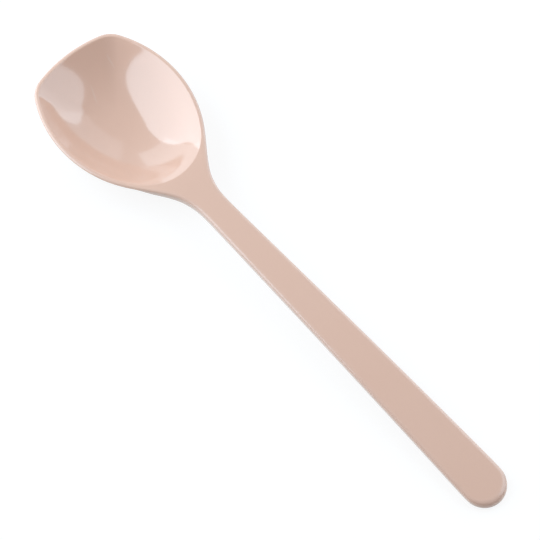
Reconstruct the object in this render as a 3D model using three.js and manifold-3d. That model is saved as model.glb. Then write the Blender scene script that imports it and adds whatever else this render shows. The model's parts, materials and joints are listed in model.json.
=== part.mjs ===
// A cooking spoon, moulded in one go from glossy pink beige melamine and shown as it lies on a table.
// The moulding has no joints and no hardware; its bowl, its neck and its handle are three solids here.
// Millimetres. Each solid is drawn with X from the bowl's tip to the handle's end, Y across, rim at Z = 0.
import * as THREE from "three";
import Module from "manifold-3d";

const { degToRad, lerp, smoothstep } = THREE.MathUtils;

// Bowl, seen from above: a broad front edge, two rounded corners, two long sides and a round back
const LENGTH = 300; // whole spoon, tip to end
const BOWL_WIDTH = 69.8;
const WIDEST_AT = 39.2;
const TIP_RADIUS = 71;
const CORNER_RADIUS = 13.5;
const SIDE_RADIUS = 61.4;
const HOLLOW_END = 85.6; // where the hollow stops at the neck
const RIM = 1.9; // between the hollow and the outside
const RIM_ROUND = 1.1;

// Bowl, in section: height follows a power of the distance from the deepest point
const DEEPEST_AT = 37;
const HOLLOW_DEPTH = 15.8;
const HOLLOW_POWER = 2.5;
const BOWL_DEPTH = 19.6;
const BOWL_POWER = 2.3;

// Towards the neck the hollow's wall bends over into a gentler band: it aims above the rim by this lift
const LIFT_FRONT = 0.1;
const LIFT_FROM = 24;
const LIFT_NECK = 1.4;
const LIFT_FULL_AT = 76;

// Neck: a flare behind the bowl that narrows to the slimmest place of the handle
const NECK_ROOT_AT = 70; // inside the bowl's wall, before the neck is fitted to it
const NECK_ROOT_WIDTH = 28;
const FLARE_AT = 79; // from here on the flare stands clear of the bowl
const FLARE_ANGLE = degToRad(36.6);
const NECK_RADIUS = 33;
const NECK_ROOT_DEPTH = 11.4;
const NECK_SAG_DEPTH = 6.3;
const SEAM = 0.3; // neck to bowl

// Handle: a bar that starts at the slimmest place and grows wider and thinner towards its round end
const SLIMMEST_AT = 108;
const SLIMMEST_WIDTH = 13.6;
const SLIMMEST_DEPTH = 5.9;
const END_WIDTH = 21.8;
const END_DEPTH = 4.5;
const TOP_ROUND_NECK = 1.4;
const TOP_ROUND_END = 2.6;
const UNDER_ROUND = 1.7;
const KEEL_ROUND = 0.8; // share of the neck's half width and of its depth that is rounded below

// Side view: the rim dips a little at the bowl, and the handle falls a little towards its end
const BOWL_DIP = 1.4;
const DIP_FROM = 58;
const DIP_TO = 94;
const END_FALL = 3.7;
const FALL_FROM = 160;

// How finely the round stretches are divided
const TIP_STEPS = 5;
const CORNER_STEPS = 7;
const SIDE_STEPS = 14;
const BACK_STEPS = 8;
const WALL_STEPS = 11;
const ROUND_STEPS = 4;
const NECK_STEPS = 16;
const FALL_STEPS = 13;
const END_STEPS = 8;

const wasm = await Module();
wasm.setup();

// Height of the spoon's top line above or below the straight line, at a distance from the tip.
function camber(x) {
  const dip = BOWL_DIP * (1 - smoothstep(x, DIP_FROM, DIP_TO));
  const past = Math.max(0, x - FALL_FROM) / (LENGTH - FALL_FROM);
  return -dip - END_FALL * past * past;
}

function point(x, y, height) {
  return new THREE.Vector3(x, y, height + camber(x));
}

// Centres of the four arcs of the bowl's outline, each touching the next
const tipCentre = new THREE.Vector2(TIP_RADIUS, 0);
const sideCentre = new THREE.Vector2(WIDEST_AT, BOWL_WIDTH / 2 - SIDE_RADIUS);
const cornerCentre = meeting(tipCentre, TIP_RADIUS - CORNER_RADIUS, sideCentre, SIDE_RADIUS - CORNER_RADIUS);
const backCentre = backOfBowl(HOLLOW_END + RIM);

// Upper crossing of two circles.
function meeting(a, radiusA, b, radiusB) {
  const across = b.clone().sub(a);
  const gap = across.length();
  const along = (radiusA ** 2 - radiusB ** 2 + gap ** 2) / (2 * gap);
  const off = Math.sqrt(radiusA ** 2 - along ** 2);
  across.divideScalar(gap);
  return new THREE.Vector2(a.x + across.x * along + across.y * off, a.y + across.y * along - across.x * off);
}

// Centre, on the axis, of the arc that closes the bowl at backX and touches both side arcs.
function backOfBowl(backX) {
  const spare = SIDE_RADIUS - backX;
  const x = (sideCentre.lengthSq() - spare ** 2) / (2 * (spare + sideCentre.x));
  return new THREE.Vector2(x, 0);
}

// Points round the bowl, a given distance outside its outline: tip, one side, back, other side.
function bowlOutline(outside) {
  const cornerFrom = cornerCentre.clone().sub(tipCentre).angle();
  const sideFrom = cornerCentre.clone().sub(sideCentre).angle();
  const backFrom = backCentre.clone().sub(sideCentre).angle();
  const backRadius = HOLLOW_END + RIM - backCentre.x;
  const arcs = [
    [tipCentre, TIP_RADIUS, Math.PI, cornerFrom, TIP_STEPS],
    [cornerCentre, CORNER_RADIUS, cornerFrom, sideFrom, CORNER_STEPS],
    [sideCentre, SIDE_RADIUS, sideFrom, backFrom, SIDE_STEPS],
    [backCentre, backRadius, backFrom, 0, BACK_STEPS],
  ];
  const half = arcs.flatMap(([centre, radius, from, to, steps]) => {
    const size = radius + outside;
    const arc = new THREE.EllipseCurve(centre.x, centre.y, size, size, from, to, true);
    return arc.getPoints(steps).slice(0, -1);
  });
  const back = new THREE.Vector2(HOLLOW_END + RIM + outside, 0);
  const mirrored = half.slice(1).reverse().map((p) => new THREE.Vector2(p.x, -p.y));
  return [...half, back, ...mirrored];
}

// The outline drawn in towards the deepest point, at the height that belongs to each of its points.
function bowlRing(outside, share, heightAt) {
  return bowlOutline(outside).map((p) => point(lerp(DEEPEST_AT, p.x, share), p.y * share, heightAt(p)));
}

// Rings of a bowl-shaped wall from its edge down to near its deepest point, closer together at the edge.
function bowlWall(outside, heightAt) {
  return Array.from({ length: WALL_STEPS }, (_, i) => {
    const share = Math.cos((i / WALL_STEPS) * (Math.PI / 2));
    return bowlRing(outside, share, (p) => heightAt(share, p));
  });
}

// Height of the hollow below a point of its edge, at a share of the way from the deepest point.
// A soft change from the wall to the lifted level bends the wall over, so that it ends at the rim's height.
function hollowHeight(share, p) {
  const lift = lerp(LIFT_FRONT, LIFT_NECK, smoothstep(p.x, LIFT_FROM, LIFT_FULL_AT));
  const wall = (HOLLOW_DEPTH + lift) * share ** HOLLOW_POWER - HOLLOW_DEPTH;
  const soft = 4 * lift;
  return Math.min(wall, lift) - Math.max(0, soft - Math.abs(wall - lift)) ** 2 / (4 * soft);
}

// Height of the bowl's outside, as a function of the share, for a given depth.
function outsideHeight(depth) {
  return (share) => -RIM_ROUND - (depth - RIM_ROUND) * (1 - share ** BOWL_POWER);
}

// A closed surface through rings of equally many points, its two ends closed flat.
function skin(rings, flatten) {
  const size = rings[0].length;
  const index = [];
  rings.slice(1).forEach((_, r) => {
    for (let i = 0; i < size; i += 1) {
      const a = r * size + i;
      const b = r * size + ((i + 1) % size);
      index.push(a, b, b + size, a, b + size, a + size);
    }
  });
  const last = (rings.length - 1) * size;
  const cap = (ring) => THREE.ShapeUtils.triangulateShape(ring.map(flatten), []);
  cap(rings[0]).forEach(([a, b, c]) => index.push(a, c, b));
  cap(rings.at(-1)).forEach(([a, b, c]) => index.push(last + a, last + b, last + c));
  return new THREE.BufferGeometry().setFromPoints(rings.flat()).setIndex(index);
}

const fromBelow = (p) => new THREE.Vector2(p.x, -p.y);
const fromTheEnd = (p) => new THREE.Vector2(p.y, p.z);

// Bowl: up the hollow, over the rim and down the outside
function bowlShape() {
  const hollow = bowlWall(-RIM, hollowHeight).reverse();
  const rim = Array.from({ length: ROUND_STEPS }, (_, i) => {
    const turn = (i / ROUND_STEPS) * (Math.PI / 2);
    return bowlRing(-RIM_ROUND * (1 - Math.sin(turn)), 1, () => -RIM_ROUND * (1 - Math.cos(turn)));
  });
  return skin([...hollow, ...rim, ...bowlWall(0, outsideHeight(BOWL_DEPTH))], fromBelow);
}

// The room that the bowl takes up, with the seam round it, open towards the top
function bowlRoom() {
  const above = bowlRing(SEAM, 1, () => BOWL_DEPTH);
  return skin([above, ...bowlWall(SEAM, outsideHeight(BOWL_DEPTH + SEAM))], fromBelow);
}

// Lines and arc of the neck's outline: the straight flare, the hollow arc and the handle's straight side
const endCentre = LENGTH - END_WIDTH / 2;
const sideAngle = Math.atan2((END_WIDTH - SLIMMEST_WIDTH) / 2, endCentre - SLIMMEST_AT);
const flareOut = new THREE.Vector2(Math.sin(FLARE_ANGLE), Math.cos(FLARE_ANGLE));
const sideOut = new THREE.Vector2(-Math.sin(sideAngle), Math.cos(sideAngle));
const flareReach = flareOut.dot(sideCentre) + SIDE_RADIUS;
const sideReach = sideOut.dot(new THREE.Vector2(SLIMMEST_AT, SLIMMEST_WIDTH / 2));
const neckCentre = besideBoth(flareReach + NECK_RADIUS, sideReach + NECK_RADIUS);

// The place that lies at the given reach along both outward directions.
function besideBoth(flare, side) {
  const cross = flareOut.x * sideOut.y - flareOut.y * sideOut.x;
  return new THREE.Vector2(
    (flare * sideOut.y - side * flareOut.y) / cross,
    (side * flareOut.x - flare * sideOut.x) / cross,
  );
}

// Half the width of neck and handle, and the direction that its side faces, up to the round end.
function sideAt(x) {
  const flareY = (at) => (flareReach - flareOut.x * at) / flareOut.y;
  if (x < FLARE_AT) {
    const share = (x - NECK_ROOT_AT) / (FLARE_AT - NECK_ROOT_AT);
    return { x, y: lerp(NECK_ROOT_WIDTH / 2, flareY(FLARE_AT), share), out: flareOut };
  }
  if (x < neckCentre.x - NECK_RADIUS * flareOut.x) {
    return { x, y: flareY(x), out: flareOut };
  }
  if (x < neckCentre.x - NECK_RADIUS * sideOut.x) {
    const y = neckCentre.y - Math.sqrt(NECK_RADIUS ** 2 - (x - neckCentre.x) ** 2);
    const out = new THREE.Vector2(neckCentre.x - x, neckCentre.y - y).divideScalar(NECK_RADIUS);
    return { x, y, out };
  }
  return { x, y: (sideReach - sideOut.x * x) / sideOut.y, out: sideOut };
}

// Depth of neck and handle below the top: a sagging curve behind the bowl, then a slow taper.
function depthAt(x) {
  if (x < SLIMMEST_AT) {
    const t = (x - NECK_ROOT_AT) / (SLIMMEST_AT - NECK_ROOT_AT);
    return (1 - t) ** 2 * NECK_ROOT_DEPTH + 2 * t * (1 - t) * NECK_SAG_DEPTH + t ** 2 * SLIMMEST_DEPTH;
  }
  return lerp(SLIMMEST_DEPTH, END_DEPTH, (x - SLIMMEST_AT) / (LENGTH - SLIMMEST_AT));
}

// Rounded section of neck or handle: top edge to under edge on one side, then back up the other side.
// The top edge is rounder at the very end. The under edge is a wide round at the neck's root, then a small one.
function barRing({ x, y, out }, atEnd) {
  const depth = depthAt(x);
  const neckTop = lerp(RIM_ROUND, TOP_ROUND_NECK, smoothstep(x, FLARE_AT, SLIMMEST_AT));
  const top = lerp(neckTop, TOP_ROUND_END, smoothstep(x, endCentre, LENGTH));
  const root = 1 - smoothstep(x, FLARE_AT, SLIMMEST_AT);
  const underWide = lerp(UNDER_ROUND, KEEL_ROUND * y, root);
  const underHigh = lerp(UNDER_ROUND, KEEL_ROUND * (depth - top), root);
  const quarter = Array.from({ length: ROUND_STEPS + 1 }, (_, i) => (i / ROUND_STEPS) * (Math.PI / 2));
  const edge = [
    ...quarter.map((turn) => [top * (1 - Math.sin(turn)), -top * (1 - Math.cos(turn))]),
    ...quarter.map((turn) => [underWide * (1 - Math.cos(turn)), underHigh * (1 - Math.sin(turn)) - depth]),
  ];
  const placed = edge.map(([inside, height]) => {
    const px = atEnd ? x - out.x * inside : x;
    const py = atEnd ? y - out.y * inside : y - inside / out.y;
    return point(px, py, height);
  });
  const mirrored = placed.map((p) => new THREE.Vector3(p.x, -p.y, p.z)).reverse();
  return [...placed, ...mirrored].reverse();
}

function barRings(from, to, steps) {
  return Array.from({ length: steps + 1 }, (_, i) => barRing(sideAt(lerp(from, to, i / steps)), false));
}

// Neck: the flare, fitted round the back of the bowl
function neckShape() {
  const flare = skin(barRings(NECK_ROOT_AT, SLIMMEST_AT, NECK_STEPS), fromTheEnd);
  return geometryOf(solidOf(flare).subtract(solidOf(bowlRoom())));
}

// Handle: the bar, straight at first, then falling, with sections that turn round its end
function handleShape() {
  const endTurn = sideOut.angle();
  const round = Array.from({ length: END_STEPS }, (_, i) => {
    const turn = endTurn * (1 - (i + 1) / (END_STEPS + 0.5));
    const out = new THREE.Vector2(Math.cos(turn), Math.sin(turn));
    return barRing({ x: endCentre + out.x * (END_WIDTH / 2), y: out.y * (END_WIDTH / 2), out }, true);
  });
  const roundFrom = endCentre + sideOut.x * (END_WIDTH / 2);
  const straight = barRing(sideAt(SLIMMEST_AT), false);
  return skin([straight, ...barRings(FALL_FROM, roundFrom, FALL_STEPS), ...round], fromTheEnd);
}

function solidOf(geometry) {
  return new wasm.Manifold(
    new wasm.Mesh({
      numProp: 3,
      vertProperties: geometry.getAttribute("position").array,
      triVerts: new Uint32Array(geometry.index.array),
    }),
  );
}

function geometryOf(solid) {
  const { vertProperties, triVerts } = solid.getMesh();
  return new THREE.BufferGeometry()
    .setAttribute("position", new THREE.BufferAttribute(vertProperties, 3))
    .setIndex(new THREE.BufferAttribute(triVerts, 1));
}

function piece(name, geometry) {
  const melamine = new THREE.MeshStandardMaterial({ color: 0xd8b8aa, roughness: 0.22, metalness: 0 });
  const mesh = new THREE.Mesh(geometry, melamine);
  mesh.name = name;
  return mesh;
}

// Pitch at which the spoon touches a table with the underside of its bowl and with its handle's end.
function restingPitch(bowl, handle) {
  const lowest = (mesh, pitch) => {
    const places = mesh.geometry.getAttribute("position");
    const found = { x: 0, z: 0, height: Infinity };
    for (let i = 0; i < places.count; i += 1) {
      const [x, z] = [places.getX(i), places.getZ(i)];
      const height = z * Math.cos(pitch) - x * Math.sin(pitch);
      if (height < found.height) Object.assign(found, { x, z, height });
    }
    return found;
  };
  let pitch = 0;
  for (let pass = 0; pass < 6; pass += 1) {
    const [under, end] = [lowest(bowl, pitch), lowest(handle, pitch)];
    pitch = Math.atan2(end.z - under.z, end.x - under.x);
  }
  return pitch;
}

const bowl = piece("bowl", bowlShape());
const neck = piece("neck", neckShape());
const handle = piece("handle", handleShape());

const moulding = new THREE.Group().add(bowl, neck, handle);
moulding.rotation.y = restingPitch(bowl, handle);
const box = new THREE.Box3().setFromObject(moulding, true);
moulding.position.set(-(box.min.x + box.max.x) / 2, 0, -box.min.z);

const spoon = new THREE.Group().add(moulding);
spoon.name = "cooking_spoon";

export default spoon;
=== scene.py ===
# %% [markdown]
# A cooking spoon, moulded in one go from glossy pink beige melamine. It has a broad bowl with a blunt
# front edge, a flared neck and a long flat handle that ends in a half circle. In this lesson the whole
# moulding is modelled as one seamless mesh, because the real one has no joint either: a step or a seam
# would show at once in its gloss.

# %% Load the frame
import json
import math

import bmesh
import bpy
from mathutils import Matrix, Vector, geometry, kdtree


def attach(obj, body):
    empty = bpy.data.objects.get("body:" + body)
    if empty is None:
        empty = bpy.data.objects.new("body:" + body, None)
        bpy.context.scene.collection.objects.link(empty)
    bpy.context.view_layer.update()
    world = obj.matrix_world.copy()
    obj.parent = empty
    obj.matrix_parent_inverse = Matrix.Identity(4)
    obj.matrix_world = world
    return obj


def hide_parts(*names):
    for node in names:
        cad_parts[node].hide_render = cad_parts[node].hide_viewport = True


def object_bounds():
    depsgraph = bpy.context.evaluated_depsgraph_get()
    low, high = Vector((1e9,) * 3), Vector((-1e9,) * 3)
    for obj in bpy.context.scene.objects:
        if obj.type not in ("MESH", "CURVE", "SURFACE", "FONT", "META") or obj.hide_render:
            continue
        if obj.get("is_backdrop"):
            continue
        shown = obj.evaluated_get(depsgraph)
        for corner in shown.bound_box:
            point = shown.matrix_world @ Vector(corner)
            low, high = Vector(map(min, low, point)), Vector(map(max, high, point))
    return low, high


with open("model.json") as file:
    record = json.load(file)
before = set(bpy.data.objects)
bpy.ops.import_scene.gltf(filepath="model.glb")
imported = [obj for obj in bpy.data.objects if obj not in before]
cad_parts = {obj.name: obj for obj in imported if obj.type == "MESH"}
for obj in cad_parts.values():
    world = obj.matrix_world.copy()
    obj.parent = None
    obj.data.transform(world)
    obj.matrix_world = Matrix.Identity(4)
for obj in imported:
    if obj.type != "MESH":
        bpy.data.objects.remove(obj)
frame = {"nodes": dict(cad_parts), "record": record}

MM = 0.001
cad_low, cad_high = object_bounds()
print("solids", sorted(frame["nodes"]), "box in mm", [round(v / MM, 1) for v in (*cad_low, *cad_high)])

# %% [markdown]
# The spoon is easiest to draw straight and level: X runs from the bowl's tip to the handle's end, Y goes
# across, and the rim lies at height 0. On the table it lies a little nose up. The frame tells how much:
# the flat top of the handle is a mount, whose axis is the top's normal, and the tip is the low end of the
# box along X. The spoon lies a hair above the table, because its smooth underside would dip into it
# between the corners of the plainer solid.

# %% How the level drawing lies on the table
RIM_ROUND = 1.1 * MM
BOWL_DIP = 1.4 * MM
LENGTH = 300 * MM
HAIR = 0.01 * MM

mount = frame["record"]["mounts"][0]
pitch = math.atan2(mount["axis"][0], mount["axis"][2])
tip_x = cad_low[0] + (RIM_ROUND + BOWL_DIP) * math.sin(pitch)
mount_along = (mount["pos_m"][0] - tip_x) / math.cos(pitch)
tip_z = mount["pos_m"][2] + mount_along * math.sin(pitch)
lie = Vector((tip_x, 0, tip_z + HAIR))
print("pitch", round(math.degrees(pitch), 2), "degrees, tip at", [round(v / MM, 2) for v in lie])

# %% [markdown]
# The camera comes first, so that every later step can be compared with the photograph. It stands about a
# metre away, high above the spoon and to the side of the handle's end. A long lens keeps the perspective
# weak, as in a catalogue picture. The small shift moves the spoon to its place in the frame without
# turning the camera.

# %% Camera
FRAME_PIXELS = 540
AZIMUTH = math.radians(47.53)
ELEVATION = math.radians(64.745)
DISTANCE = 1.0
PIXELS_PER_METRE = 2155.5
MIDDLE_PIXEL = (275.0, 266.6)
SENSOR = 36

middle = lie + Vector((LENGTH / 2 * math.cos(pitch), 0, -LENGTH / 2 * math.sin(pitch)))
level = math.cos(ELEVATION)
back = Vector((math.sin(AZIMUTH) * level, -math.cos(AZIMUTH) * level, math.sin(ELEVATION)))
turned = back.to_track_quat("Z", "Y").to_euler()
bpy.ops.object.select_all(action="DESELECT")
bpy.ops.object.camera_add(location=middle + back * DISTANCE, rotation=turned)
camera = bpy.context.object
camera.name = "camera"
camera.data.sensor_width = SENSOR
camera.data.lens = SENSOR * PIXELS_PER_METRE * DISTANCE / FRAME_PIXELS
camera.data.shift_x = 0.5 - MIDDLE_PIXEL[0] / FRAME_PIXELS
camera.data.shift_y = MIDDLE_PIXEL[1] / FRAME_PIXELS - 0.5
bpy.context.scene.camera = camera
print("lens", round(camera.data.lens, 1), "mm")

# %% [markdown]
# Seen from above, the bowl's outline is four arcs on each side that touch each other: a broad front edge,
# a tight corner, a long side and a round back. A free curve could follow it too, but arcs say it with a
# handful of numbers. The corner's circle touches the front and the side from inside, so its centre is
# where two smaller circles cross.

# %% The arcs of the bowl's outline
BOWL_WIDTH = 69.8 * MM
WIDEST_AT = 39.2 * MM
TIP_RADIUS = 71 * MM
CORNER_RADIUS = 13.5 * MM
SIDE_RADIUS = 61.4 * MM
HOLLOW_END = 85.6 * MM
RIM = 1.9 * MM


def unit(turn):
    return Vector((math.cos(turn), math.sin(turn)))


def turn_of(way):
    return math.atan2(way.y, way.x)


tip_centre = Vector((TIP_RADIUS, 0))
side_centre = Vector((WIDEST_AT, BOWL_WIDTH / 2 - SIDE_RADIUS))
crossings = geometry.intersect_sphere_sphere_2d(
    tip_centre, TIP_RADIUS - CORNER_RADIUS, side_centre, SIDE_RADIUS - CORNER_RADIUS
)
corner_centre = max(crossings, key=lambda spot: spot.y)
spare = SIDE_RADIUS - HOLLOW_END - RIM
back_centre = Vector(((side_centre.length_squared - spare**2) / (2 * (spare + side_centre.x)), 0))
print("corner centre", [round(v / MM, 1) for v in corner_centre], "mm")
print("back centre", [round(v / MM, 1) for v in back_centre], "mm")

# %% [markdown]
# Places are now set along these arcs, evenly on each of them, and mirrored to the other side. The same
# function also gives lines inside or outside the outline, because an arc that is moved inwards or
# outwards stays an arc with the same centre.

# %% Places round the bowl
TIP_STEPS = 4
CORNER_STEPS = 5
SIDE_STEPS = 13
BACK_STEPS = 5

corner_turn = turn_of(corner_centre - tip_centre)
side_turn = turn_of(corner_centre - side_centre)
back_turn = turn_of(back_centre - side_centre)
bowl_arcs = [
    (tip_centre, TIP_RADIUS, math.pi, corner_turn, TIP_STEPS),
    (corner_centre, CORNER_RADIUS, corner_turn, side_turn, CORNER_STEPS),
    (side_centre, SIDE_RADIUS, side_turn, back_turn, SIDE_STEPS),
    (back_centre, HOLLOW_END + RIM - back_centre.x, back_turn, 0, BACK_STEPS),
]


def bowl_outline(outside):
    """Places round the bowl, this far outside its outline: tip, one side, back, other side."""
    half = []
    for centre, radius, start, end, steps in bowl_arcs:
        turns = [start + (end - start) * i / steps for i in range(steps)]
        half += [centre + unit(turn) * (radius + outside) for turn in turns]
    mirrored = [Vector((spot.x, -spot.y)) for spot in reversed(half[1:])]
    return [*half, Vector((HOLLOW_END + RIM + outside, 0)), *mirrored]


outline = bowl_outline(0)
outward = [(further - spot).normalized() for further, spot in zip(bowl_outline(MM), outline)]
BACK = len(outline) // 2
print(len(outline), "places round the bowl")

# %% [markdown]
# Neck and handle share one side line: a straight flare that leaves the bowl's side without a kink, a
# hollow arc, a straight side that widens slowly, and the half circle of the end. The flare and the
# straight side are written as a direction and a reach, so that the arc's centre is simply the place that
# is one radius beyond both.

# %% The lines and the arc of neck and handle
FLARE_TURN = math.radians(90 - 36.6)
NECK_RADIUS = 33 * MM
SLIMMEST_AT = 108 * MM
SLIMMEST_WIDTH = 13.6 * MM
END_WIDTH = 21.8 * MM

end_centre = Vector((LENGTH - END_WIDTH / 2, 0))
widening = math.atan2((END_WIDTH - SLIMMEST_WIDTH) / 2, end_centre.x - SLIMMEST_AT)
side_out = unit(math.pi / 2 + widening)
side_reach = side_out.dot(Vector((SLIMMEST_AT, SLIMMEST_WIDTH / 2)))
flare_out = unit(FLARE_TURN)
flare_reach = flare_out.dot(side_centre) + SIDE_RADIUS
arc_reach = Vector((flare_reach + NECK_RADIUS, side_reach + NECK_RADIUS))
spread = flare_out.x * side_out.y - flare_out.y * side_out.x
neck_centre = Vector((
    (arc_reach.x * side_out.y - arc_reach.y * flare_out.y) / spread,
    (arc_reach.y * flare_out.x - arc_reach.x * side_out.x) / spread,
))
print("neck arc centre", [round(v / MM, 1) for v in neck_centre], "mm")

# %% [markdown]
# All later steps ask the same question: where is the side at some distance from the tip, and which way
# does it face? One function answers it for the flare, the arc and the straight side in turn. The half
# circle of the end is left to its own step, because it has no single place for each distance.

# %% The side line of neck and handle
def side_at(x):
    """The place on the side line at this distance from the tip, and the direction that it faces."""
    if x < neck_centre.x - NECK_RADIUS * flare_out.x:
        return Vector((x, (flare_reach - flare_out.x * x) / flare_out.y)), flare_out
    if x < neck_centre.x - NECK_RADIUS * side_out.x:
        spot = Vector((x, neck_centre.y - math.sqrt(NECK_RADIUS**2 - (x - neck_centre.x) ** 2)))
        return spot, (neck_centre - spot) / NECK_RADIUS
    return Vector((x, (side_reach - side_out.x * x) / side_out.y)), side_out


print("half width at the end", round(side_at(end_centre.x)[0].y / MM, 2), "mm")

# %% [markdown]
# Two more facts say how thick neck and handle are and how they feel in the hand: the depth, which falls
# in a sagging curve from the bowl to the slimmest place and then evenly to the end, and the rounding of
# the top edge, which is small along the handle and grows round the end. Smooth steps carry one size over
# into the next, so that no line shows where it changes.

# %% Depth and top edge of neck and handle
FLARE_AT = 79 * MM
TOP_ROUND_NECK = 1.4 * MM
TOP_ROUND_END = 2.6 * MM
NECK_ROOT_AT = 70 * MM
NECK_ROOT_DEPTH = 11.4 * MM
NECK_SAG_DEPTH = 6.3 * MM
SLIMMEST_DEPTH = 5.9 * MM
END_DEPTH = 4.5 * MM


def mix(a, b, share):
    return a + (b - a) * share


def smooth_step(x, start, end):
    share = min(max((x - start) / (end - start), 0), 1)
    return share * share * (3 - 2 * share)


def top_round(x):
    at_neck = mix(RIM_ROUND, TOP_ROUND_NECK, smooth_step(x, FLARE_AT, SLIMMEST_AT))
    return mix(at_neck, TOP_ROUND_END, smooth_step(x, end_centre.x, LENGTH))


def depth_at(x):
    if x < SLIMMEST_AT:
        t = (x - NECK_ROOT_AT) / (SLIMMEST_AT - NECK_ROOT_AT)
        return (1 - t) ** 2 * NECK_ROOT_DEPTH + 2 * t * (1 - t) * NECK_SAG_DEPTH + t**2 * SLIMMEST_DEPTH
    return mix(SLIMMEST_DEPTH, END_DEPTH, (x - SLIMMEST_AT) / (LENGTH - SLIMMEST_AT))


for x in (FLARE_AT, SLIMMEST_AT, LENGTH):
    sizes = [round(size / MM, 2) for size in (x, depth_at(x), top_round(x))]
    print("distance from the tip, depth and top round in mm", sizes)

# %% [markdown]
# A moulding like this could be sculpted, or cut out of a block with booleans. Here it is grown by
# extruding, as by hand: a chain of edges is selected and extruded, and each new vertex is moved to the
# place that a formula gives for it. A chain is known by its places, so the helpers below look up which
# vertices lie there.

# %% Tools for extruding a chain of edges to new places
TOUCH = 0.001 * MM


def search_tree(places):
    tree = kdtree.KDTree(len(places))
    for i, place in enumerate(places):
        tree.insert(place, i)
    tree.balance()
    return tree


def edit_mesh():
    return bmesh.from_edit_mesh(bpy.context.object.data)


def select_at(places):
    """Selects the vertices at these places and the edges between them."""
    tree = search_tree(places)
    mesh = edit_mesh()
    mesh.select_mode = {"VERT"}
    for vert in mesh.verts:
        vert.select_set(tree.find(vert.co)[2] < TOUCH)
    mesh.select_flush_mode()


def grow(chain, targets):
    """Extrudes the edges between the chain's places and moves each new vertex to its target."""
    select_at(chain)
    bpy.ops.mesh.extrude_edges_move()
    tree = search_tree(chain)
    for vert in edit_mesh().verts:
        if vert.select:
            vert.co = targets[tree.find(vert.co)[1]]
    bmesh.update_edit_mesh(bpy.context.object.data)


print("places closer than", TOUCH / MM, "mm count as one")

# %% [markdown]
# The hollow has a flat floor and walls that steepen towards the rim. A stretched ball would steepen too
# early, so the height follows a power of the distance from the deepest point. Towards the neck the wall
# bends over into a gentler band before it meets the edge: there it aims above the rim by a small lift,
# and a soft change from the wall to that level brings it down to the rim.

# %% Height of the hollow
DEEPEST_AT = 37 * MM
HOLLOW_DEPTH = 15.8 * MM
HOLLOW_POWER = 2.5
LIFT_FRONT = 0.1 * MM
LIFT_FROM = 24 * MM
LIFT_NECK = 1.4 * MM
LIFT_FULL_AT = 76 * MM

deepest = Vector((DEEPEST_AT, 0))


def hollow_height(edge_x, share):
    """Height of the hollow, a share of the way from its deepest point to a place on its edge."""
    lift = mix(LIFT_FRONT, LIFT_NECK, smooth_step(edge_x, LIFT_FROM, LIFT_FULL_AT))
    wall = (HOLLOW_DEPTH + lift) * share**HOLLOW_POWER - HOLLOW_DEPTH
    # On the edge the wall has reached the lift, and a soft change 4 lifts wide takes off just that much.
    soft = 4 * lift
    return min(wall, lift) - max(0, soft - abs(wall - lift)) ** 2 / (4 * soft)


halfway = [round(hollow_height(edge_x, 0.5) / MM, 2) for edge_x in (RIM, HOLLOW_END)]
print("height halfway to the tip and halfway to the neck", halfway, "mm")

# %% [markdown]
# With the height known, the hollow is grown like a pot on a wheel: a circle is laid on the hollow's edge,
# and ring after ring is extruded from it, each drawn in towards the deepest point and let down. The rings
# lie close together near the edge, so that the subdivision that comes later keeps it crisp.

# %% The hollow of the bowl
HOLLOW_STEPS = 14


def hollow_ring(share):
    ring = []
    for spot in bowl_outline(-RIM):
        drawn_in = deepest.lerp(spot, share)
        ring.append(Vector((drawn_in.x, drawn_in.y, hollow_height(spot.x, share))))
    return ring


def turn_in_bowl(place):
    return turn_of(place.xy - deepest) % math.tau


hollow_edge = hollow_ring(1)
bpy.ops.object.select_all(action="DESELECT")
bpy.ops.mesh.primitive_circle_add(
    vertices=len(hollow_edge), radius=BOWL_WIDTH / 2, location=(DEEPEST_AT, 0, 0)
)
spoon = bpy.context.object
spoon.name = "spoon"
bpy.ops.object.transform_apply()
in_order = sorted(spoon.data.vertices, key=lambda vert: turn_in_bowl(vert.co))
for vert, place in zip(in_order, sorted(hollow_edge, key=turn_in_bowl)):
    vert.co = place

bpy.ops.object.mode_set(mode="EDIT")
ring = hollow_edge
for step in range(1, HOLLOW_STEPS):
    smaller = hollow_ring(math.cos(step / HOLLOW_STEPS * math.pi / 2))
    grow(ring, smaller)
    ring = smaller
print("hollow rings", HOLLOW_STEPS, "vertices", len(edit_mesh().verts))

# %% [markdown]
# The middle is still open. A fan of triangles would close it, but the point where they all meet shows as
# a dimple in a glossy surface. Grid Fill makes a patch of squares instead. It comes out flat, so its
# vertices are let down to the height that the power gives. That needs the share of any place between the
# deepest point (0) and the outline (1): a ray from the deepest point is cut with each arc in turn.

# %% The middle of the hollow
GRID_SPAN = 13
ARC_OVERLAP = 1e-4


def share_at(place, outside=0):
    """0 at the bowl's deepest point, 1 on its outline, more than 1 outside it."""
    ray = Vector((place.x, abs(place.y))) - deepest
    if ray.length < TOUCH:
        return 0
    way = ray.normalized()
    for centre, radius, start, end, _ in bowl_arcs:
        along = (centre - deepest).dot(way)
        square = (radius + outside) ** 2 - (centre - deepest).length_squared + along**2
        if square > 0:
            reach = along + math.sqrt(square)
            turn = turn_of(deepest + way * reach - centre)
            if end - ARC_OVERLAP <= turn <= start + ARC_OVERLAP:
                return ray.length / reach
    raise ValueError(f"no arc lies in the direction of {place}")


select_at(ring)
bpy.ops.mesh.fill_grid(span=GRID_SPAN)
for vert in edit_mesh().verts:
    if vert.select:
        share = share_at(vert.co, -RIM)
        edge_x = DEEPEST_AT + (vert.co.x - DEEPEST_AT) / max(share, TOUCH)
        vert.co.z = hollow_height(edge_x, share)
print("vertices with the middle", len(edit_mesh().verts))

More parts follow.
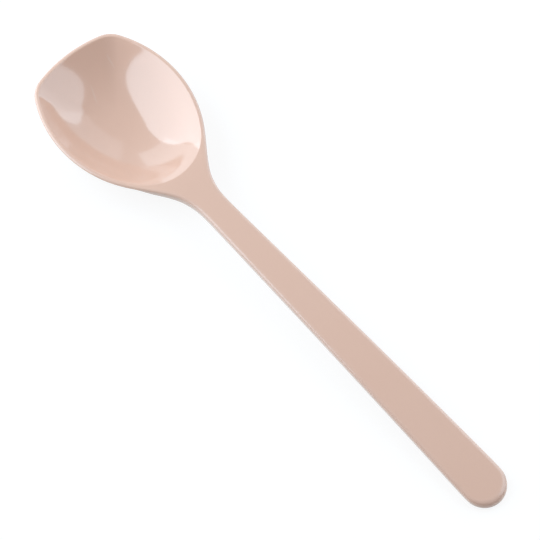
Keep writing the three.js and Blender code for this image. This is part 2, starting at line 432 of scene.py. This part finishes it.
# %% [markdown]
# The flat top of neck and handle could be one large face, but a subdivision surface needs rows of
# squares. Each row runs across from side to side. The first one lies close behind the hollow's edge and
# repeats its curve, and the next ones straighten. The sheet stops short of the side line, where the
# rounding of the top edge will begin.

# %% A row across the flat top
LIP = RIM - RIM_ROUND

columns = range(2 * BACK_STEPS + 1)
back_edge = [hollow_edge[BACK - BACK_STEPS + c] for c in columns]


def sheet_edge(spot, out):
    """The place on the edge of the flat top that belongs to a place on the side line."""
    return spot - out * (top_round(spot.x) + LIP)


def row_at(x, straight):
    """A row across the flat top; straight is 0 along the hollow's edge and 1 square across."""
    edge = sheet_edge(*side_at(x))
    corner = back_edge[0]
    row = []
    for c in columns:
        across = mix(back_edge[c].y / corner.y, 1 - c / BACK_STEPS, straight)
        bulge = (1 - straight) * (back_edge[c].x - corner.x)
        row.append(Vector((edge.x + bulge, edge.y * across, 0)))
    return row


print("vertices in a row", len(columns), "behind an edge of", round(2 * back_edge[0].y / MM, 1), "mm")

# %% [markdown]
# From the back of the hollow's edge the flat top now grows, row by row. The rows stand closer in the
# neck, where the outline turns, and wider apart along the straight handle. At the far end the last row
# bends round to follow the half circle.

# %% The flat top of neck and handle
STRAIGHT_AT = 97 * MM
NECK_SHARES = (0.06, 0.3, 0.55, 0.8, 1)
SLIM_STEPS = 2
HANDLE_STEPS = 12

back_corner = outline[BACK - BACK_STEPS].x
round_from = end_centre.x + side_out.x * END_WIDTH / 2
stations = [(mix(back_corner, STRAIGHT_AT, share), share) for share in NECK_SHARES]
stations += [(mix(STRAIGHT_AT, SLIMMEST_AT, step / SLIM_STEPS), 1) for step in range(1, SLIM_STEPS + 1)]
stations += [(mix(SLIMMEST_AT, round_from, step / HANDLE_STEPS), 1) for step in range(1, HANDLE_STEPS + 1)]
end_turns = [turn_of(side_out) * (1 - (c + 1) / (BACK_STEPS + 1)) for c in columns]
end_sides = [(end_centre + unit(turn) * END_WIDTH / 2, unit(turn)) for turn in end_turns]

rows = [row_at(x, straight) for x, straight in stations]
rows.append([sheet_edge(*side).to_3d() for side in end_sides])
previous = back_edge
for row in rows:
    grow(previous, row)
    previous = row
print("rows", len(rows), "vertices", len(edit_mesh().verts))

# %% [markdown]
# Nobody sees the underside in a catalogue picture, but the spoon is turned in the hand. At the bowl the
# neck is one wide round keel below; along the handle it becomes flat, with a small round at each edge.
# This is written as a depth for any place, with an elliptic rounding whose width and height change along
# the spoon.

# %% Depth of neck and handle below any place
UNDER_ROUND = 1.7 * MM
KEEL = 0.8
NECK_ROOT_WIDTH = 28 * MM
STEEP = 3

root_widening = (side_at(FLARE_AT)[0].y - NECK_ROOT_WIDTH / 2) / (FLARE_AT - NECK_ROOT_AT)


def under_round(x, half_width):
    """How wide and how high the rounding of the under edge is."""
    root = 1 - smooth_step(x, FLARE_AT, SLIMMEST_AT)
    wide = mix(UNDER_ROUND, KEEL * half_width, root)
    high = mix(UNDER_ROUND, KEEL * (depth_at(x) - top_round(x)), root)
    return wide, high


def bar_depth(place):
    """Depth of neck and handle at a place; it falls off quickly outside them."""
    x = min(max(place.x, NECK_ROOT_AT), LENGTH)
    if x < end_centre.x:
        spot, out = side_at(x)
        half_width = min(spot.y, NECK_ROOT_WIDTH / 2 + (x - NECK_ROOT_AT) * root_widening)
        inside = (half_width - abs(place.y)) * out.y
    else:
        half_width = END_WIDTH / 2
        inside = half_width - (place.xy - end_centre).length
    wide, high = under_round(x, half_width)
    short_of_neck = STEEP * max(0, NECK_ROOT_AT - place.x)
    if inside < 0:
        return depth_at(x) - high + STEEP * inside - short_of_neck
    share = min(inside / wide, 1)
    return depth_at(x) - high + high * math.sqrt(1 - (1 - share) ** 2) - short_of_neck


print("depth at the end's centre", round(bar_depth(end_centre) / MM, 2), "mm")

# %% [markdown]
# The bowl's outside is a power curve like its hollow, only deeper, and the neck runs into it. A boolean
# union would leave a hard crease between the two. Here both are depths, so the deeper one simply counts,
# with a soft changeover where they are nearly equal: the fillet between bowl and neck.

# %% Height of the underside
BOWL_DEPTH = 19.6 * MM
BOWL_POWER = 2.3
FILLET = 5 * MM


def under_height(place):
    bowl = RIM_ROUND + (BOWL_DEPTH - RIM_ROUND) * (1 - share_at(place) ** BOWL_POWER)
    bar = bar_depth(place)
    nearly = max(0, FILLET - abs(bowl - bar))
    return -max(bowl, bar) - nearly**2 / (4 * FILLET)


print("floor of the bowl", round((-HOLLOW_DEPTH - under_height(deepest)) / MM, 2), "mm thick")

# %% [markdown]
# The underside has the same plan as the top, so it needs no drawing of its own: the whole sheet is
# duplicated, each vertex of the copy is let down to its height, and the copy's faces are flipped to look
# down.

# %% The underside, as a lowered copy of the top
bpy.ops.mesh.select_all(action="SELECT")
bpy.ops.mesh.duplicate()
for vert in edit_mesh().verts:
    if vert.select:
        vert.co.z = under_height(vert.co)
bpy.ops.mesh.flip_normals()
lowest = min(vert.co.z for vert in edit_mesh().verts)
print("faces in both sheets", len(edit_mesh().faces), "deepest", round(lowest / MM, 2), "mm")

# %% [markdown]
# Two sheets lie one above the other, and only the edge is missing. It runs once round the whole spoon, so
# the outline of the bowl, the two side lines and the half circle of the end are strung together into one
# border. Each place on it comes with the direction that it faces.

# %% The border of the whole spoon
bowl_part = [*range(BACK + BACK_STEPS, len(outline)), *range(BACK - BACK_STEPS + 1)]
side_part = [side_at(x) for x, _ in stations]
mirror = Vector((1, -1))
other_side = [(spot * mirror, out * mirror) for spot, out in reversed(side_part)]
border = [(outline[i], outward[i]) for i in bowl_part] + side_part + end_sides + other_side


def edge_ring(inside_and_height):
    """A ring round the spoon; the function gives how far inside the border it lies, and how high."""
    ring = []
    for spot, out in border:
        inside, height = inside_and_height(spot, out)
        ring.append((spot - out * inside).to_3d() + Vector((0, 0, height)))
    return ring


print("places on the border", len(border))

# %% [markdown]
# Ring after ring is extruded along that border: over the rounding of the top edge, down the side and in
# under the bowl and the handle, until the last ring lies on the edge of the lower sheet and is merged
# with it. A Bevel modifier would be quicker, but it has one width, and here the rounding grows towards
# the end.

# %% The edge round the whole spoon
ROUND_STEPS = 3
UNDER_SHARES = (0.02, 0.15, 0.45, 1)


def rounding(turn):
    def inside_and_height(spot, out):
        size = top_round(spot.x)
        return size * (1 - math.sin(turn)), -size * (1 - math.cos(turn))
    return inside_and_height


def underneath(share):
    def inside_and_height(spot, out):
        inside = (top_round(spot.x) + LIP) * share
        return inside, under_height(spot - out * inside)
    return inside_and_height


edge_rings = [edge_ring(rounding(step / ROUND_STEPS * math.pi / 2)) for step in range(ROUND_STEPS + 1)]
edge_rings += [edge_ring(underneath(share)) for share in UNDER_SHARES]
previous = edge_ring(lambda spot, out: (top_round(spot.x) + LIP, 0))
for ring in edge_rings:
    grow(previous, ring)
    previous = ring
bpy.ops.mesh.select_all(action="SELECT")
bpy.ops.mesh.remove_doubles(threshold=TOUCH)
bpy.ops.mesh.normals_make_consistent(inside=False)
open_edges = [edge for edge in edit_mesh().edges if not edge.is_manifold]
print("cage", len(edit_mesh().faces), "faces, open edges", len(open_edges))

# %% [markdown]
# The rounded edge is where a real spoon is buffed after moulding and where it rubs in the drawer, and it
# gets a painted highlight in its colour. The finish needs to know where that is, so the vertices on the
# rounding are marked in the mesh itself, with a number called edge. The subdivision spreads the number
# smoothly into the faces beside them.

# %% Mark the rounded edge
# The marked rings get a duller gloss, less glaze, and a painted highlight in the colour.
MARKED_EDGE_RINGS = 2

on_rounding = search_tree([place for ring in edge_rings[:MARKED_EDGE_RINGS] for place in ring])
edge_layer = edit_mesh().verts.layers.float.new("edge")
marked = [vert for vert in edit_mesh().verts if on_rounding.find(vert.co)[2] < TOUCH]
for vert in marked:
    vert[edge_layer] = 1
print("vertices on the rounded edge", len(marked))

# %% [markdown]
# From the side the top line isn't quite straight: the rim dips a little at the bowl, and the handle falls
# slowly towards its end. A lattice or a curve could bend the mesh. Moving every vertex by the height of
# that line does the same, and its numbers can be read.

# %% Bend the top line
DIP_FROM = 58 * MM
DIP_TO = 94 * MM
END_FALL = 3.7 * MM
FALL_FROM = 160 * MM


def camber(x):
    dip = BOWL_DIP * (1 - smooth_step(x, DIP_FROM, DIP_TO))
    past = max(0, x - FALL_FROM) / (LENGTH - FALL_FROM)
    return -dip - END_FALL * past**2


for vert in edit_mesh().verts:
    vert.co.z += camber(vert.co.x)
bmesh.update_edit_mesh(spoon.data)
bpy.ops.object.mode_set(mode="OBJECT")
print("top line at the tip and at the end", [round(camber(x) / MM, 2) for x in (0, LENGTH)], "mm")

# %% [markdown]
# The subdivision surface rounds the cage, and the level drawing is turned and moved to where it lies on
# the table. Its place is applied to the mesh, so that the object itself stays at the origin. The finished
# mesh takes the place of the three solids and rides on their body.

# %% Subdivide and lay down
SUBDIVISION = 2

subdivision = spoon.modifiers.new("subdivision", "SUBSURF")
subdivision.levels = SUBDIVISION
subdivision.render_levels = SUBDIVISION
bpy.ops.object.modifier_apply(modifier=subdivision.name)
bpy.ops.object.shade_smooth()
spoon.rotation_euler = (0, pitch, 0)
spoon.location = lie
bpy.ops.object.transform_apply()
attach(spoon, "root")
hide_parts("bowl", "neck", "handle")
print("spoon", len(spoon.data.polygons), "faces")

# %% [markdown]
# Every finish below is a small graph of nodes. Wiring it by hand hides the formula behind it, so one
# class stands for a number in the graph: adding or multiplying two of them adds the Math node that does
# it. A second class holds the graph itself and adds any other node by its type, its settings and what
# goes into its sockets.

# %% Tools for shader graphs
class Number:
    """A number that changes over a surface; arithmetic on it adds Math nodes."""

    def __init__(self, graph, socket):
        self.graph = graph
        self.socket = socket

    def math(self, operation, first, second):
        node = self.graph.add("ShaderNodeMath", {"operation": operation}, {0: first, 1: second})
        return Number(self.graph, node.outputs[0])

    def __add__(self, other):
        return self.math("ADD", self, other)

    def __sub__(self, other):
        return self.math("SUBTRACT", self, other)

    def __rsub__(self, other):
        return self.math("SUBTRACT", other, self)

    def __mul__(self, other):
        return self.math("MULTIPLY", self, other)

    def at_least(self, other):
        return self.math("MAXIMUM", self, other)

    __radd__ = __add__
    __rmul__ = __mul__


class Graph:
    """The node tree of a material or of the world."""

    def __init__(self, owner):
        owner.use_nodes = True
        self.tree = owner.node_tree

    def add(self, kind, settings, sockets):
        """Adds a node, applies its settings, then fills or links its sockets."""
        node = self.tree.nodes.new(kind)
        for name, value in settings.items():
            setattr(node, name, value)
        for name, value in sockets.items():
            self.fill(node.inputs[name], value)
        return node

    def fill(self, socket, value):
        source = value.socket if isinstance(value, Number) else value
        if isinstance(source, bpy.types.NodeSocket):
            self.tree.links.new(source, socket)
        else:
            socket.default_value = source

    def number(self, node, output):
        return Number(self, node.outputs[output])

    def noise(self, place, scale, detail):
        node = self.add("ShaderNodeTexNoise", {}, {"Vector": place, "Scale": scale, "Detail": detail})
        return self.number(node, "Fac")

    def mixed(self, first, second, share):
        """One colour mixed into another; the Mix node keeps its colour sockets in places 6, 7 and 2."""
        node = self.add("ShaderNodeMix", {"data_type": "RGBA"}, {0: share, 6: first, 7: second})
        return node.outputs[2]


melamine = bpy.data.materials.new("melamine")
graph = Graph(melamine)
shader = graph.tree.nodes["Principled BSDF"]
spoon.data.materials.append(melamine)
print("the melamine starts with", len(graph.tree.nodes), "nodes")

# %% [markdown]
# Melamine isn't quite even. The powder flows in faint clouds and leaves fine specks, wiping dry leaves
# long faint streaks along the spoon, and the surface has a very weak orange peel. Noise gives all of
# them: wide for the clouds, fine for the specks, stretched along the spoon for the streaks. It reads the
# object's own coordinates, so that nothing slides when the spoon is moved.

# %% Clouds, specks, streaks and orange peel
CLOUDS_PER_METRE = 22
SPECKS_PER_METRE = 1600
PEEL_PER_METRE = 260
STREAKS_PER_METRE = (5, 90, 90)

place = graph.add("ShaderNodeTexCoord", {}, {}).outputs["Object"]
clouds = graph.noise(place, CLOUDS_PER_METRE, detail=3)
specks = graph.noise(place, SPECKS_PER_METRE, detail=1)
peel = graph.noise(place, PEEL_PER_METRE, detail=1)
stretched = graph.add("ShaderNodeMapping", {}, {"Vector": place, "Scale": STREAKS_PER_METRE})
streaks = graph.noise(stretched.outputs[0], 1, detail=2)
edge = graph.number(graph.add("ShaderNodeAttribute", {"attribute_name": "edge"}, {}), "Fac")
print("nodes with the textures", len(graph.tree.nodes))

# %% [markdown]
# A used spoon has a few light scuffs where other cutlery slid through the bowl. Two of them can be seen
# in the hollow. Each is a thin line that fades out along its length and across its width. It is written
# as the product of two bumps, one in each direction, in the spoon's own coordinates.

# %% Scuffs in the hollow
SCUFF_WIDTH = 0.6 * MM
SCUFFS = (
    (Vector((-130.2, 0.1)) * MM, math.radians(-22), 5 * MM),
    (Vector((-136.3, 16.4)) * MM, math.radians(-7), 3.5 * MM),
)

axes = graph.add("ShaderNodeSeparateXYZ", {}, {"Vector": place})
place_x = graph.number(axes, "X")
place_y = graph.number(axes, "Y")


def fade(distance, reach):
    """1 in the middle, 0 from this reach on."""
    share = distance * (1 / reach)
    return (1 - share * share).at_least(0)


def scuff(centre, turn, reach):
    from_x = place_x - centre.x
    from_y = place_y - centre.y
    along = from_x * math.cos(turn) + from_y * math.sin(turn)
    across = from_y * math.cos(turn) - from_x * math.sin(turn)
    return fade(along, reach) * fade(across, SCUFF_WIDTH)


scuffed = sum(scuff(*each) for each in SCUFFS)
print("scuffs", len(SCUFFS))

# %% [markdown]
# The colour is a pink beige that is never quite the same: clouds and specks mix a rosier shade into it.
# Along the rounded edge a paler shade is mixed in a little as a painted highlight, and the rubbed scuffs
# are a little paler too. One flat colour would look like a drawing of a spoon, and a painted picture
# would not fit from all sides.

# %% Colour of the melamine
# The pale shade is a painted highlight on the rounded edge, and the real paleness of the rubbed scuffs.
PINK_BEIGE = (0.83, 0.535, 0.415, 1)
ROSE_CLOUD = (0.805, 0.5, 0.38, 1)
PALE_HIGHLIGHT_AND_SCUFF = (0.80, 0.655, 0.595, 1)
CLOUD_SHARE = 0.7
EDGE_HIGHLIGHT_SHARE = 0.12
SCUFF_PALENESS = 0.22

colour = graph.mixed(PINK_BEIGE, ROSE_CLOUD, clouds * CLOUD_SHARE + specks * (1 - CLOUD_SHARE))
# On the rounded edge this paler shade is a painted highlight; in the scuffs it is rubbed resin.
colour = graph.mixed(colour, PALE_HIGHLIGHT_AND_SCUFF, edge * EDGE_HIGHLIGHT_SHARE + scuffed * SCUFF_PALENESS)
graph.fill(shader.inputs["Base Color"], colour)
print("nodes with the colour", len(graph.tree.nodes))

# %% [markdown]
# The moulding comes out of its polished mould with a deep gloss, because a clear glaze of the same resin
# is pressed over the coloured one. The shader has a coat for that, and both layers get the high
# refractive index of melamine. Streaks and the rubbed edge are a little duller, the edge and the scuffs
# have lost some of the glaze, and the orange peel goes into a weak bump.

# %% Gloss and glaze of the melamine
GLOSS = 0.1
STREAK_DULLNESS = 0.06
EDGE_DULLNESS = 0.08
PEEL_STRENGTH = 0.04
PEEL_HEIGHT = 0.2 * MM
MELAMINE_IOR = 1.68
GLAZE = 0.75
EDGE_GLAZE_LOSS = 0.5
SCUFF_GLAZE_LOSS = 0.3
GLAZE_ROUGHNESS = 0.07

bump = graph.add("ShaderNodeBump", {}, {"Strength": PEEL_STRENGTH, "Distance": PEEL_HEIGHT, "Height": peel})
graph.fill(shader.inputs["Normal"], bump.outputs[0])
graph.fill(shader.inputs["Roughness"], GLOSS + streaks * STREAK_DULLNESS + edge * EDGE_DULLNESS)
graph.fill(shader.inputs["IOR"], MELAMINE_IOR)
graph.fill(shader.inputs["Coat Weight"], GLAZE - edge * EDGE_GLAZE_LOSS - scuffed * SCUFF_GLAZE_LOSS)
graph.fill(shader.inputs["Coat Roughness"], GLAZE_ROUGHNESS)
graph.fill(shader.inputs["Coat IOR"], MELAMINE_IOR)
print("nodes with the gloss", len(graph.tree.nodes))

# %% [markdown]
# The spoon lies on plain pale paper. A wide plane is enough for it. It belongs to the stage and not to
# the spoon, so it rides on nothing.

# %% Floor
FLOOR_SIZE = 6

bpy.ops.object.select_all(action="DESELECT")
bpy.ops.mesh.primitive_plane_add(size=FLOOR_SIZE)
floor = bpy.context.object
floor.name = "floor"
floor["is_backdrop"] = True
print("floor", FLOOR_SIZE, "m wide")

# %% [markdown]
# The paper throws a weak grey light back at the spoon. What the camera and the gloss see of it is lifted
# to white by a little glow, so that no lamp has to be turned up for it, and the soft shadow stays. Light
# Path tells the two kinds of rays apart.

# %% Paper of the floor
FLOOR_GREY = 0.3
SHADOW_SHARE = 0.2
FLOOR_GLOW = 0.84


def grey(level):
    return (level, level, level, 1)


def seen_directly(graph):
    """1 where the camera, a mirror or a glass looks at something, 0 where it only gives light."""
    path = graph.add("ShaderNodeLightPath", {}, {})
    seen = graph.number(path, "Is Camera Ray") + graph.number(path, "Is Glossy Ray")
    return seen + graph.number(path, "Is Transmission Ray")


paper = bpy.data.materials.new("white_floor")
graph = Graph(paper)
graph.tree.nodes.remove(graph.tree.nodes["Principled BSDF"])
giving = graph.add("ShaderNodeBsdfDiffuse", {}, {"Color": grey(FLOOR_GREY)})
shaded = graph.add("ShaderNodeBsdfDiffuse", {}, {"Color": grey(SHADOW_SHARE)})
glow = graph.add("ShaderNodeEmission", {}, {"Strength": FLOOR_GLOW})
shown = graph.add("ShaderNodeAddShader", {}, {0: shaded.outputs[0], 1: glow.outputs[0]})
seen = seen_directly(graph)
either = graph.add("ShaderNodeMixShader", {}, {0: seen, 1: giving.outputs[0], 2: shown.outputs[0]})
graph.fill(graph.tree.nodes["Material Output"].inputs["Surface"], either.outputs[0])
floor.data.materials.append(paper)
print("paper nodes", len(graph.tree.nodes))

# %% [markdown]
# The room gives a soft light from everywhere, but less from the side where the handle points: the wall at
# the handle's end and the wall at the bowl's tip both face that way, and both are deep in tone. The X of
# the direction, made a share from 0 to 1, mixes one grey into the other.

# %% World
DARK_SIDE = 0.24
BRIGHT_SIDE = 0.66

world = bpy.data.worlds.new("studio")
bpy.context.scene.world = world
graph = Graph(world)
background = graph.tree.nodes["Background"]
direction = graph.add("ShaderNodeTexCoord", {}, {}).outputs["Generated"]
axes = graph.add("ShaderNodeSeparateXYZ", {}, {"Vector": direction})
towards_handle = graph.number(axes, "X") * 0.5 + 0.5
graph.fill(background.inputs["Color"], graph.mixed(grey(BRIGHT_SIDE), grey(DARK_SIDE), towards_handle))
bpy.context.scene.view_settings.view_transform = "Standard"
print("room from", DARK_SIDE, "to", BRIGHT_SIDE)

# %% [markdown]
# A lamp could be dragged about until its reflection fits. It is easier to say where the bowl sees it: in
# which direction, and how wide and high it looks from there. Its brightness is a radiance, so that the
# mirrored patch keeps its tone when the lamp changes its size.

# %% A lamp that faces the bowl
LAMP_DISTANCE = 0.55
COOL_WHITE = (0.81, 1, 1.14)

to_right = Vector((math.cos(AZIMUTH), math.sin(AZIMUTH), 0))
away = Vector((-math.sin(AZIMUTH), math.cos(AZIMUTH), 0))
bowl_middle = lie + Vector((DEEPEST_AT * math.cos(pitch), 0, -DEEPEST_AT * math.sin(pitch)))


def soft_lamp(name, shape, turn, rise, half_width, half_height, radiance):
    """Turn is 0 away from the camera and 90 on its right. Turn, rise and half sizes are in degrees."""
    turn, rise = math.radians(turn), math.radians(rise)
    level_way = away * math.cos(turn) + to_right * math.sin(turn)
    way = level_way * math.cos(rise) + Vector((0, 0, math.sin(rise)))
    bpy.ops.object.light_add(type="AREA", location=bowl_middle + way * LAMP_DISTANCE)
    lamp = bpy.context.object
    lamp.name = name
    lamp.rotation_euler = way.to_track_quat("Z", "Y").to_euler()
    lamp.visible_camera = False
    lamp.data.shape = shape
    lamp.data.size = 2 * LAMP_DISTANCE * math.tan(math.radians(half_width))
    lamp.data.size_y = 2 * LAMP_DISTANCE * math.tan(math.radians(half_height))
    lamp.data.color = COOL_WHITE
    area = lamp.data.size * lamp.data.size_y * (math.pi / 4 if shape == "ELLIPSE" else 1)
    lamp.data.energy = radiance * math.pi * area
    print(name, "power", round(lamp.data.energy, 1), "W")


print("lamps stand", LAMP_DISTANCE, "m from the bowl")

# %% [markdown]
# Two large round softboxes light the spoon, one on the left and one on the right. The gloss shows where
# they are: the bright patch with its curved edge on the right of the hollow mirrors the strong box on the
# left, and the weaker patch on the left mirrors the box on the right. Beside each patch a dimmer one
# mirrors a white board that stands next to the box.

# %% Softboxes and boards
soft_lamp("left_softbox", "ELLIPSE", turn=-90, rise=30, half_width=40, half_height=40, radiance=1.92)
soft_lamp("right_softbox", "ELLIPSE", turn=77, rise=23, half_width=36, half_height=36, radiance=1.25)
soft_lamp("left_board", "RECTANGLE", turn=-31, rise=12, half_width=19, half_height=24, radiance=0.7)
soft_lamp("right_board", "RECTANGLE", turn=26, rise=22, half_width=18, half_height=28, radiance=0.35)

# %% [markdown]
# At the end the box of the finished spoon is set beside the box of the solids. The spoon has to stay
# inside it, because the solids stand for it wherever it is dropped, held or put away.

# %% Sizes and the end
boxes = {"cad": [list(cad_low), list(cad_high)], "visual": [list(corner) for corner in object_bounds()]}
for name, (low, high) in boxes.items():
    print(name, "box in mm", [round(v / MM, 2) for v in (*low, *high)])
